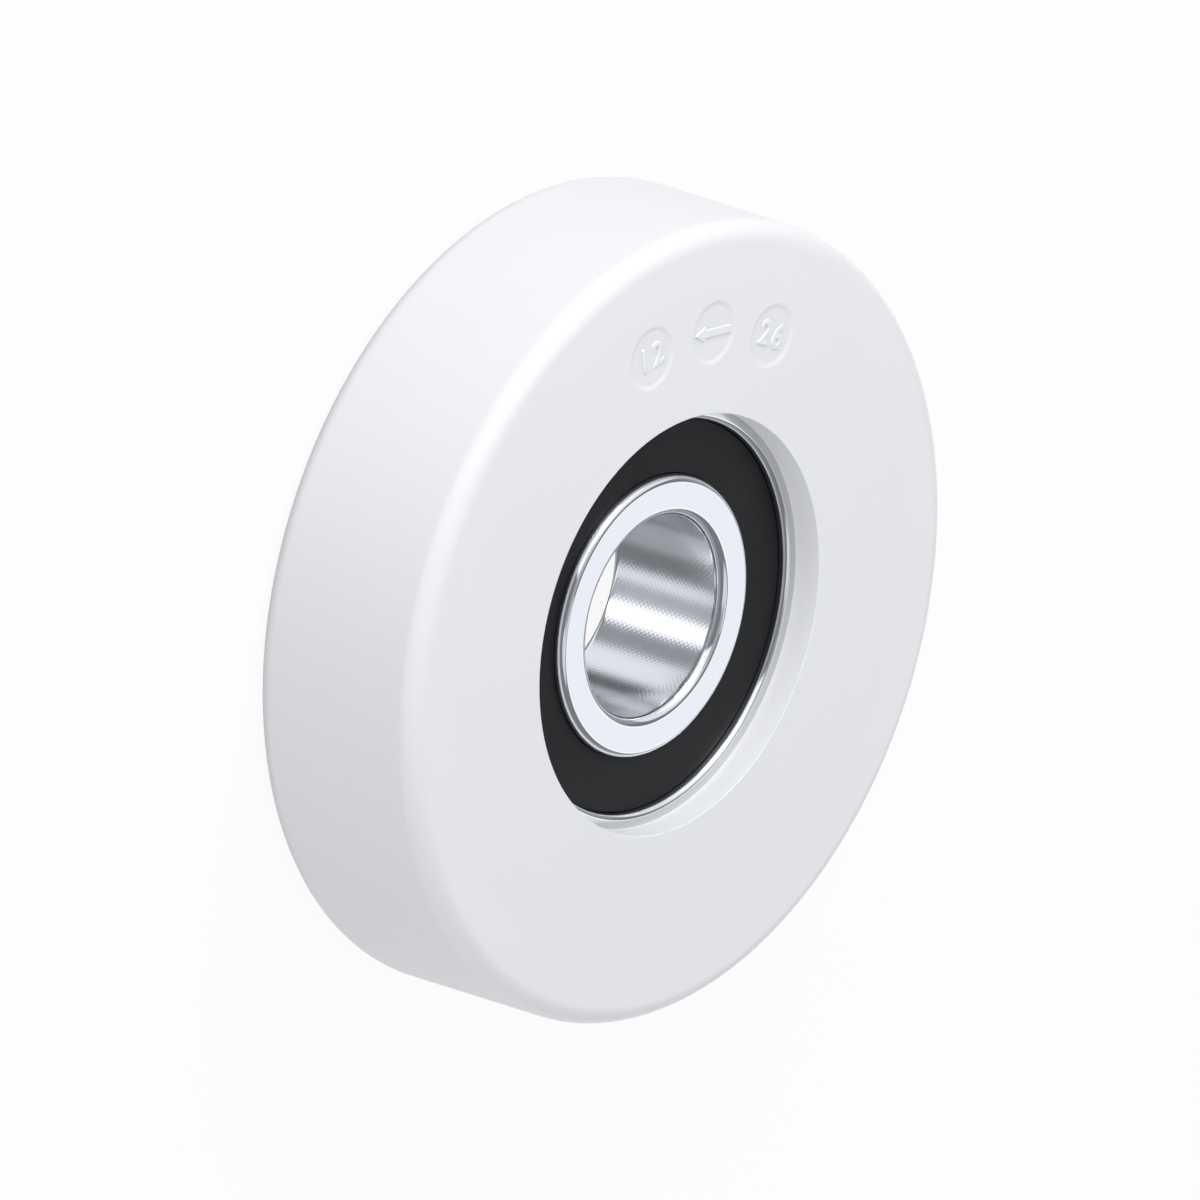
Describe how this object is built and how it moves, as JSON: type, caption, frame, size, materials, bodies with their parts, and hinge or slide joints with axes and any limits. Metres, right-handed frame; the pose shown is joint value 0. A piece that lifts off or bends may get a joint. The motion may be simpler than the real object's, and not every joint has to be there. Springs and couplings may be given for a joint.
{
  "type": "guide roller",
  "caption": "Plain cylindrical guide roller: moulded plastic wheel with rounded tread shoulders, turning on a sealed deep-groove ball bearing with a through bore.",
  "frame": {"origin": "centre of the roller, on its axis and in its middle plane", "axes": "+Z along the axis towards the marked front face, +Y towards the middle one of the three round marks; the roller lies on its back side face"},
  "size_m": [0.08, 0.08, 0.02],
  "materials": {
    "tread_plastic": "satin moulded polyurethane, natural white",
    "centre_plastic": "satin moulded polyamide, natural white",
    "ring_steel": "ground and polished bearing steel",
    "ball_steel": "lapped bearing steel",
    "cage_steel": "pressed mild steel sheet",
    "seal_rubber": "moulded black nitrile rubber"
  },
  "bodies": {
    "inner_ring": {"inner_ring": "ring_steel"},
    "roller": {"tread": "tread_plastic", "wheel_centre": "centre_plastic", "outer_ring": "ring_steel", "seal_front": "seal_rubber", "seal_back": "seal_rubber"},
    "cage": {"cage_half_front": "cage_steel", "cage_half_back": "cage_steel", "cage_rivets": "cage_steel"},
    "ball_1": {"ball_1": "ball_steel"},
    "ball_2": {"ball_2": "ball_steel"},
    "ball_3": {"ball_3": "ball_steel"},
    "ball_4": {"ball_4": "ball_steel"},
    "ball_5": {"ball_5": "ball_steel"},
    "ball_6": {"ball_6": "ball_steel"},
    "ball_7": {"ball_7": "ball_steel"},
    "ball_8": {"ball_8": "ball_steel"}
  },
  "joints": [
    {"name": "roller_spin", "type": "hinge", "parent": "inner_ring", "child": "roller", "pos_m": [0, 0, 0], "axis": [0, 0, 1], "continuous": true},
    {"name": "cage_spin", "type": "hinge", "parent": "inner_ring", "child": "cage", "pos_m": [0, 0, 0], "axis": [0, 0, 1], "continuous": true},
    {"name": "ball_1_spin", "type": "hinge", "parent": "cage", "child": "ball_1", "pos_m": [0.01675, 0, 0], "axis": [0, 0, 1], "continuous": true},
    {"name": "ball_2_spin", "type": "hinge", "parent": "cage", "child": "ball_2", "pos_m": [0.01184, 0.01184, 0], "axis": [0, 0, 1], "continuous": true},
    {"name": "ball_3_spin", "type": "hinge", "parent": "cage", "child": "ball_3", "pos_m": [0, 0.01675, 0], "axis": [0, 0, 1], "continuous": true},
    {"name": "ball_4_spin", "type": "hinge", "parent": "cage", "child": "ball_4", "pos_m": [-0.01184, 0.01184, 0], "axis": [0, 0, 1], "continuous": true},
    {"name": "ball_5_spin", "type": "hinge", "parent": "cage", "child": "ball_5", "pos_m": [-0.01675, 0, 0], "axis": [0, 0, 1], "continuous": true},
    {"name": "ball_6_spin", "type": "hinge", "parent": "cage", "child": "ball_6", "pos_m": [-0.01184, -0.01184, 0], "axis": [0, 0, 1], "continuous": true},
    {"name": "ball_7_spin", "type": "hinge", "parent": "cage", "child": "ball_7", "pos_m": [0, -0.01675, 0], "axis": [0, 0, 1], "continuous": true},
    {"name": "ball_8_spin", "type": "hinge", "parent": "cage", "child": "ball_8", "pos_m": [0.01184, -0.01184, 0], "axis": [0, 0, 1], "continuous": true}
  ],
  "couplings": [
    {"joint": "cage_spin", "follows": "roller_spin", "ratio": 0.61848},
    {"joint": "ball_1_spin", "follows": "roller_spin", "ratio": 1.9916},
    {"joint": "ball_2_spin", "follows": "roller_spin", "ratio": 1.9916},
    {"joint": "ball_3_spin", "follows": "roller_spin", "ratio": 1.9916},
    {"joint": "ball_4_spin", "follows": "roller_spin", "ratio": 1.9916},
    {"joint": "ball_5_spin", "follows": "roller_spin", "ratio": 1.9916},
    {"joint": "ball_6_spin", "follows": "roller_spin", "ratio": 1.9916},
    {"joint": "ball_7_spin", "follows": "roller_spin", "ratio": 1.9916},
    {"joint": "ball_8_spin", "follows": "roller_spin", "ratio": 1.9916}
  ]
}
